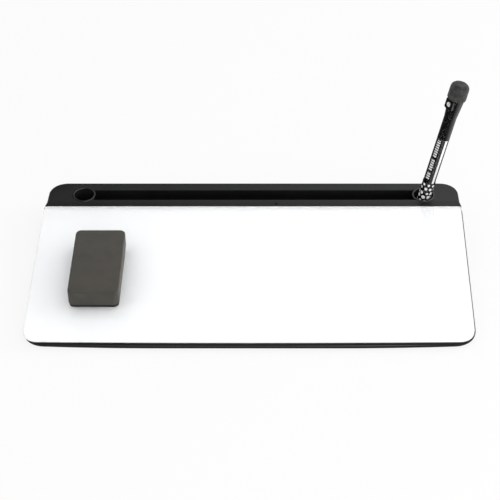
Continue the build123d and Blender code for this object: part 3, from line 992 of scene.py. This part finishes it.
@dataclass
class Case:
    """The black case: cover, glass frame, tray, cups, screws and feet."""

    effects: EffectLibrary
    black: Colour = (0.0062, 0.0062, 0.0066)
    frame_black: Colour = (0.0045, 0.0045, 0.005)
    cover_black: Colour = (0.0068, 0.0068, 0.0074)
    # The cups' paler black is partly a painted highlight on their lip rings.
    cup_black_and_painted_highlight: Colour = (0.012, 0.012, 0.0125)
    rubber: Colour = (0.018, 0.018, 0.018)
    zinc: Colour = (0.55, 0.55, 0.56)
    grain: float = 0.35 * MM
    grain_depth: float = 0.012 * MM

    def satin(self, name: str, black: Colour, roughness: float, shine: float) -> MouldedFinish:
        """Returns the grained plastic that the shells share.

        Args:
            name: the finish's name.
            black: the shell's own black.
            roughness: how far its reflections spread.
            shine: how strong they are.

        Returns:
            The finish.
        """
        return MouldedFinish(name, black, roughness, self.grain, self.grain_depth, shine)

    def dress_shell(self) -> None:
        """Gives the mouldings their satin blacks: the frame a deeper one, the cover a paler."""
        tray = self.satin("satin_black_case", self.black, roughness=0.40, shine=0.34)
        dress(("tray_housing",), tray.material(self.effects))
        deep = self.satin("deep_black_frame", self.frame_black, roughness=0.40, shine=0.31)
        dress(("glass_frame",), deep.material(self.effects))
        pale = self.satin("pale_black_cover", self.cover_black, roughness=0.34, shine=0.55)
        dress(("bottom_cover",), pale.material(self.effects))

    def dress_cups(self) -> None:
        """Gives the two pen cups a smoother black, slightly paler than the case: partly their own
        moulding's black, partly a painted highlight on the lip rings.
        """
        smooth = MouldedFinish(
            "smooth_black_cup_painted_highlight", self.cup_black_and_painted_highlight, roughness=0.22, grain=0.5 * MM, depth=0.004 * MM
        )
        dress(("pen_cup_left", "pen_cup_right"), smooth.material(self.effects))

    def dress_underside(self) -> None:
        """Gives the screws zinc plate and the feet matt rubber."""
        plate = MetalFinish(
            "zinc_plated_steel", self.zinc, roughness=0.32, streak=0.15 * MM, depth=0.003 * MM
        )
        dress(("frame_screws", "tray_screws"), plate.material(self.effects))
        rubber = MouldedFinish(
            "matt_black_rubber",
            self.rubber,
            roughness=0.75,
            grain=0.25 * MM,
            depth=0.03 * MM,
            shine=0.3,
        )
        ends, sides = ("front", "rear"), ("left", "middle", "right")
        feet = tuple(f"foot_{end}_{side}" for end in ends for side in sides)
        dress(feet, rubber.material(self.effects))


@dataclass
class Board:
    """The writing plate: glass, white coat, steel sheet and tape."""

    effects: EffectLibrary
    plane: BoardPlane
    width: float = 379.5 * MM
    depth: float = 178.1 * MM
    thickness: float = 3.8 * MM
    rim: float = 1.15 * MM
    bond: float = 0.02 * MM
    across: float = -0.55 * MM
    front_radius: float = 12.8 * MM
    rear_radius: float = 1.5 * MM
    front_bow: float = 1.2 * MM
    polish: float = 0.12 * MM
    crease: float = math.radians(35)
    tint: Colour = (0.985, 0.995, 0.992)
    white: Colour = (0.92, 0.92, 0.93)
    steel: Colour = (0.52, 0.52, 0.53)
    tape: Colour = (0.72, 0.72, 0.70)

    def build_glass(self) -> bpy.types.Object:
        """Builds the plate, which ends with its coat and reaches a hair into it, as a bond does.

        Returns:
            The new piece.
        """
        deep = self.thickness + self.bond
        slab = RoundedSlab(
            self.width,
            self.depth,
            deep,
            self.front_radius,
            self.rear_radius,
            top_rim=self.polish,
            bottom_rim=self.polish / 2,
            corner_segments=20,
            front_bow=self.front_bow,
        )
        shape = slab.shape((self.across, self.rim + self.depth / 2, -deep / 2))
        facts = PieceFacts("glass_plate", "base", "glass_panel", "clear_glass")
        finish = GlassFinish("clear_float_glass", self.tint).material(self.effects)
        return facts.finish(shape, self.plane.matrix(), finish, self.crease)

    def dress_layers(self) -> None:
        """Gives the coat, the steel sheet and the tape their finishes."""
        coat = MouldedFinish(
            "white_back_coat",
            self.white,
            roughness=0.5,
            grain=1.2 * MM,
            depth=0.002 * MM,
            shine=0.3,
            spread=0.004,
        )
        dress(("white_coat",), coat.material(self.effects))
        sheet = MetalFinish(
            "rolled_sheet_steel", self.steel, roughness=0.35, streak=0.25 * MM, depth=0.002 * MM
        )
        dress(("steel_sheet",), sheet.material(self.effects))
        tape = FoamFinish("white_foam_tape", self.tape, cell=0.25 * MM, depth=0.04 * MM)
        dress(("adhesive_strips",), tape.material(self.effects))


@dataclass
class Marker:
    """The marker's body: dotted tail, barrel, label, reservoir and nib."""

    effects: EffectLibrary
    black: Colour = (0.004, 0.004, 0.004)
    white: Colour = (0.86, 0.86, 0.86)
    pale_bar: Colour = (0.70, 0.70, 0.70)
    # The label's dark grey stripe, a painted highlight standing in for a lamp's reflection.
    painted_highlight_grey: Colour = (0.045, 0.045, 0.047)
    ink: Colour = (0.02, 0.02, 0.022)

    def gloss(self, name: str, colour: Colour) -> MouldedFinish:
        """Returns the glossy plastic that the marker's mouldings share."""
        return MouldedFinish(name, colour, roughness=0.18, grain=1.0 * MM, depth=0.001 * MM)

    def dress_outside(self) -> None:
        """Gives the tail its dots, the barrel its white, and the label its print with a painted
        highlight stripe.
        """
        tail = DottedFinish(self.gloss("dotted_black_tail", self.black), self.white)
        dress(("marker_tail",), tail.material(self.effects))
        barrel = self.gloss("glossy_white_barrel", self.white)
        dress(("marker_barrel",), barrel.material(self.effects))
        film = MouldedFinish(
            "black_label_film_painted_highlight",
            self.black,
            roughness=0.16,
            grain=0.8 * MM,
            depth=0.002 * MM,
            shine=0.12,
        )
        # The label gets a painted highlight stripe besides its print.
        label = LabelFinish(film, self.pale_bar, self.painted_highlight_grey)
        dress(("marker_label",), label.material(self.effects))

    def dress_inside(self) -> None:
        """Gives the reservoir, the nib holder and the nib their finishes."""
        rod = FeltFinish(
            "inked_fibre_rod", self.ink, fibre=0.3 * MM, depth=0.06 * MM, contrast=0.3
        )
        dress(("ink_reservoir",), rod.material(self.effects))
        holder = self.gloss("black_nib_holder", self.black)
        dress(("nib_holder",), holder.material(self.effects))
        nib = FeltFinish(
            "inked_nib_felt", self.ink, fibre=0.18 * MM, depth=0.03 * MM, contrast=0.3
        )
        dress(("nib",), nib.material(self.effects))


@dataclass
class MarkerCap:
    """The marker's cap with its liner, magnet and domed felt head."""

    effects: EffectLibrary
    axis: MarkerAxis
    black: Colour = (0.004, 0.004, 0.004)
    pale: Colour = (0.62, 0.62, 0.60)
    nickel: Colour = (0.66, 0.66, 0.65)
    felt: Colour = field(default_factory=lambda: screen(58, 58, 57))
    start: float = 123.7 * MM
    end: float = 139.2 * MM
    radius: float = 8.7 * MM
    top_round: float = 4.8 * MM
    base_round: float = 0.9 * MM
    plug_radius: float = 5.9 * MM
    plug_length: float = 4.5 * MM
    steps: int = 96
    top_steps: int = 12
    side_steps: int = 12
    base_steps: int = 3
    crown_steps: int = 4
    lump: float = 1.1 * MM
    lump_depth: float = 0.22 * MM
    lump_fade: float = 0.7
    lump_ratio: float = 2.1
    lump_layers: int = 3

    def dress(self) -> None:
        """Gives the cap, its liner and its magnet their finishes."""
        gloss = MouldedFinish(
            "glossy_black_cap",
            self.black,
            roughness=0.16,
            grain=0.9 * MM,
            depth=0.0005 * MM,
            shine=0.12,
        )
        dress(("marker_cap",), gloss.material(self.effects))
        liner = MouldedFinish(
            "pale_cap_liner",
            self.pale,
            roughness=0.5,
            grain=0.6 * MM,
            depth=0.004 * MM,
            shine=0.4,
        )
        dress(("cap_liner",), liner.material(self.effects))
        plate = MouldedFinish(
            "pale_magnet_plating",
            self.nickel,
            roughness=0.4,
            grain=0.3 * MM,
            depth=0.003 * MM,
            shine=0.6,
        )
        dress(("cap_magnet",), plate.material(self.effects))

    def rounding(
        self, size: float, rim: float, way: int, turns: list[float]
    ) -> list[tuple[float, float]]:
        """Returns points of the head's outline on one of its rounded rims.

        Args:
            size: the rounding's radius.
            rim: where along the marker the rim lies.
            way: 1 where the head lies above the rim, or -1 where it lies below.
            turns: the turns of the points, from 0 at the side to a right angle at the rim.

        Returns:
            The distance from the axis and the place along it, for each point.
        """
        return [
            (self.radius - size * (1 - math.cos(turn)), rim + way * size * (1 - math.sin(turn)))
            for turn in turns
        ]

    def profile(self) -> list[tuple[float, float]]:
        """Draws the head's outline from the middle of its top to the middle of its plug.

        Returns:
            The distance from the axis and the place along it, for each point.
        """
        right_angle = math.pi / 2
        turns = [right_angle * (1 - step / self.top_steps) for step in range(self.top_steps + 1)]
        top = self.rounding(self.top_round, self.end, -1, turns)
        side_start, side_end = self.end - self.top_round, self.start + self.base_round
        side = [
            (self.radius, side_start + (side_end - side_start) * step / self.side_steps)
            for step in range(1, self.side_steps + 1)
        ]
        turns = [right_angle * step / self.base_steps for step in range(1, self.base_steps + 1)]
        base = self.rounding(self.base_round, self.start, 1, turns)
        flat = top[0][0]
        crown = [(flat * step / self.crown_steps, self.end) for step in range(self.crown_steps)]
        plug_end = self.start - self.plug_length
        plug = [(self.plug_radius, self.start), (self.plug_radius, plug_end), (0.0, plug_end)]
        return crown + top + side + base + plug

    def build_felt(self) -> bpy.types.Object:
        """Builds the felt head by spinning its outline, then roughens it as worn felt is.

        Returns:
            The new piece.
        """
        head = bmesh.new()
        verts = [head.verts.new((across, 0.0, along)) for across, along in self.profile()]
        edges = [head.edges.new(pair) for pair in zip(verts, verts[1:])]
        bmesh.ops.spin(
            head,
            geom=verts + edges,
            cent=(0.0, 0.0, 0.0),
            axis=(0.0, 0.0, 1.0),
            dvec=(0.0, 0.0, 0.0),
            angle=math.tau,
            steps=self.steps,
            use_merge=True,
        )
        bmesh.ops.remove_doubles(head, verts=head.verts, dist=HAIR)
        bmesh.ops.recalc_face_normals(head, faces=head.faces)
        head.normal_update()
        fractal = (self.lump_fade, self.lump_ratio, self.lump_layers)
        for vert in head.verts:
            if vert.co.z > self.start:
                lump = noise.fractal(vert.co / self.lump, *fractal)
                vert.co -= vert.normal * self.lump_depth * min(max(0.5 + lump, 0.0), 1.0)
        facts = PieceFacts("felt_head", "marker_cap", "cap_eraser", "felt_grey")
        felt = FeltFinish("dark_grey_felt", self.felt, fibre=0.55 * MM, depth=0.22 * MM)
        finish = felt.material(self.effects)
        made = facts.finish(head, self.axis.matrix(), finish, SOFT_CREASE)
        return made


@dataclass
class BlockEraser:
    """The block eraser: dense foam with a felt wiping pad under it."""

    effects: EffectLibrary
    plane: BoardPlane
    foam: Colour = field(default_factory=lambda: screen(66, 63, 57))
    felt: Colour = (0.012, 0.012, 0.013)
    width: float = 43.5 * MM
    length: float = 84.0 * MM
    height: float = 17.0 * MM
    across: float = -132.9 * MM
    front: float = 40.9 * MM
    corner: float = 5.0 * MM
    top_rim: float = 1.2 * MM
    bottom_rim: float = 0.5 * MM
    pad: float = 3.0 * MM
    pad_top_rim: float = 0.2 * MM
    pad_bottom_rim: float = 0.5 * MM
    pad_inset: float = 0.6 * MM
    lift: float = 0.15 * MM

    def build_foam(self) -> bpy.types.Object:
        """Builds the foam block.

        Returns:
            The new piece.
        """
        deep = self.height - self.pad
        slab = RoundedSlab(
            self.width,
            self.length,
            deep,
            self.corner,
            self.corner,
            self.top_rim,
            self.bottom_rim,
            rim_segments=6,
        )
        middle = (self.across, self.front + self.length / 2, self.lift + self.pad + deep / 2)
        facts = PieceFacts("foam_block", "board_eraser", "eraser_block", "foam_grey")
        foam = FoamFinish("warm_grey_foam", self.foam, cell=0.45 * MM, depth=0.05 * MM)
        finish = foam.material(self.effects)
        made = facts.finish(slab.shape(middle), self.plane.matrix(), finish, SOFT_CREASE)
        return made

    def build_pad(self) -> bpy.types.Object:
        """Builds the felt wiping pad.

        Returns:
            The new piece.
        """
        slab = RoundedSlab(
            self.width - 2 * self.pad_inset,
            self.length - 2 * self.pad_inset,
            self.pad,
            self.corner - self.pad_inset,
            self.corner - self.pad_inset,
            self.pad_top_rim,
            self.pad_bottom_rim,
        )
        middle = (self.across, self.front + self.length / 2, self.lift + self.pad / 2)
        facts = PieceFacts("wiping_pad", "board_eraser", "eraser_felt", "felt_dark")
        felt = FeltFinish("black_wiping_felt", self.felt, fibre=0.4 * MM, depth=0.12 * MM)
        finish = felt.material(self.effects)
        made = facts.finish(slab.shape(middle), self.plane.matrix(), finish, SOFT_CREASE)
        return made


@dataclass(frozen=True)
class Lamp:
    """A soft rectangular lamp that points at the middle of the board."""

    name: str
    place: tuple[float, float, float]
    width: float
    height: float
    power: float

    def build(self) -> bpy.types.Object:
        """Builds the lamp.

        Returns:
            The new lamp.
        """
        data = bpy.data.lights.new(self.name, "AREA")
        data.shape = "RECTANGLE"
        data.size, data.size_y, data.energy = self.width, self.height, self.power
        made = bpy.data.objects.new(self.name, data)
        made.location = self.place
        made.rotation_euler = (-Vector(self.place)).to_track_quat("-Z", "Y").to_euler()
        bpy.context.scene.collection.objects.link(made)
        return made


@dataclass
class Studio:
    """The pale floor, the soft light and the camera at the photograph's angle."""

    floor_half: float = 4.0
    floor_drop: float = 0.2 * MM
    floor_white: Colour = (0.90, 0.90, 0.90)
    floor_glow: float = 0.86
    dark_floor: float = 0.25
    strip_level: float = 4.0
    strip_start: tuple[float, float] = (0.20, 0.27)
    strip_end: tuple[float, float] = (0.10, 0.18)
    sky_level: float = 0.70
    glass_level: float = 1.85
    dim_side: float = 0.02
    bright_side: float = 1.5
    side_span: tuple[float, float] = (-0.2, 0.2)
    front_level: float = 1.7
    front_span: tuple[float, float] = (-0.6, -0.1)
    camera_place: tuple[float, float, float] = (0.0407, -1.25715, 0.9241)
    camera_down: float = math.radians(35.5)
    lens: float = 126.8
    sensor: float = 36.0
    shift: float = -0.0958
    lamps: tuple[Lamp, ...] = (
        Lamp("right_softbox", (1.25, 0.15, 0.75), width=0.9, height=0.7, power=7.5),
        Lamp("front_softbox", (0.35, -1.3, 1.3), width=1.0, height=0.7, power=3.0),
        Lamp("low_front_softbox", (0.3, -1.5, 0.4), width=1.2, height=0.5, power=5.0),
    )

    def floor_light(self, made: Surface) -> tuple[Socket, Socket]:
        """Works out how the floor glows for the ray that meets it.

        Args:
            made: the floor's material.

        Returns:
            The share of its glow, which plain light doesn't get, and the level of that glow. In
            reflections the floor is dark but for a strip of light at the right of the marker.
        """
        path = made.node("ShaderNodeLightPath").outputs
        place = made.fill(made.node("ShaderNodeSeparateXYZ"), Vector=made.place).outputs
        beside = made.span(place["X"], *self.strip_start, 0.0, 1.0)
        before = made.span(place["Y"], *self.strip_end, 1.0, 0.0)
        strip = made.choose(
            made.math("MULTIPLY", beside, before), self.dark_floor, self.strip_level
        )
        seen = made.math("MAXIMUM", path["Is Camera Ray"], path["Is Transmission Ray"])
        seen = made.math("MAXIMUM", seen, path["Is Glossy Ray"])
        share = made.math("MULTIPLY", seen, self.floor_glow)
        return share, made.choose(path["Is Glossy Ray"], 1.0, strip)

    def build_floor(self) -> None:
        """Builds the floor, which glows white but keeps the object's shadow."""
        shape = bmesh.new()
        bmesh.ops.create_grid(shape, x_segments=1, y_segments=1, size=self.floor_half)
        bmesh.ops.translate(shape, vec=(0.0, 0.0, -self.floor_drop), verts=shape.verts)
        mesh = bpy.data.meshes.new("floor")
        shape.to_mesh(mesh)
        shape.free()
        made = Surface("white_floor")
        made.fill(made.shader, Base_Color=self.floor_white, Roughness=0.9, Specular_IOR_Level=0.1)
        share, level = self.floor_light(made)
        glow = made.fill(made.node("ShaderNodeEmission"), Color=(1.0, 1.0, 1.0), Strength=level)
        mixed = made.node("ShaderNodeMixShader")
        made.feed(mixed.inputs[0], share)
        made.feed(mixed.inputs[1], made.shader.outputs[0])
        made.feed(mixed.inputs[2], glow.outputs[0])
        made.feed(made.output.inputs["Surface"], mixed.outputs[0])
        mesh.materials.append(made.material)
        floor = bpy.data.objects.new("floor", mesh)
        bpy.context.scene.collection.objects.link(floor)

    def build_sky(self) -> None:
        """Builds the surroundings, in reflections dim at the left and bright in front."""
        world = bpy.data.worlds.new("white_studio")
        world.use_nodes = True
        world.node_tree.nodes.clear()
        bpy.context.scene.world = world
        builder = NodeBuilder(world.node_tree)
        way = builder.node("ShaderNodeSeparateXYZ")
        builder.feed(way.inputs[0], builder.node("ShaderNodeTexCoord").outputs["Generated"])
        path = builder.node("ShaderNodeLightPath").outputs
        side = builder.span(way.outputs["X"], *self.side_span, self.dim_side, self.bright_side)
        front = builder.span(way.outputs["Y"], *self.front_span, self.front_level, 1.0)
        side = builder.math("MULTIPLY", side, front)
        level = builder.choose(path["Is Glossy Ray"], self.sky_level, side)
        level = builder.choose(path["Is Transmission Ray"], level, self.glass_level)
        level = builder.choose(path["Is Camera Ray"], level, 1.0)
        light = builder.fill(
            builder.node("ShaderNodeBackground"), Color=(1.0, 1.0, 1.0), Strength=level
        )
        output = builder.node("ShaderNodeOutputWorld")
        builder.feed(output.inputs["Surface"], light.outputs[0])

    def build_camera(self) -> None:
        """Builds the camera where the photograph was taken from."""
        data = bpy.data.cameras.new("camera")
        data.lens, data.sensor_width, data.shift_x = self.lens, self.sensor, self.shift
        camera = bpy.data.objects.new("camera", data)
        camera.location = self.camera_place
        camera.rotation_euler = (math.pi / 2 - self.camera_down, 0.0, 0.0)
        bpy.context.scene.collection.objects.link(camera)
        bpy.context.scene.camera = camera

    def build(self) -> None:
        """Builds the whole studio."""
        self.build_floor()
        self.build_sky()
        self.build_camera()
        for lamp in self.lamps:
            lamp.build()
        bpy.context.scene.view_settings.view_transform = "Standard"


def main() -> None:
    """Builds the pieces, the finishes and the studio, and reports each piece."""
    logging.basicConfig(level=logging.INFO, format="%(message)s")
    effects = EffectLibrary()
    plane = BoardPlane()
    case = Case(effects)
    case.dress_shell()
    case.dress_cups()
    case.dress_underside()
    board = Board(effects, plane)
    board.build_glass()
    board.dress_layers()
    marker = Marker(effects)
    marker.dress_outside()
    marker.dress_inside()
    cap = MarkerCap(effects, MarkerAxis())
    cap.dress()
    cap.build_felt()
    eraser = BlockEraser(effects, plane)
    eraser.build_foam()
    eraser.build_pad()
    Studio().build()


if __name__ == "__main__":
    main()
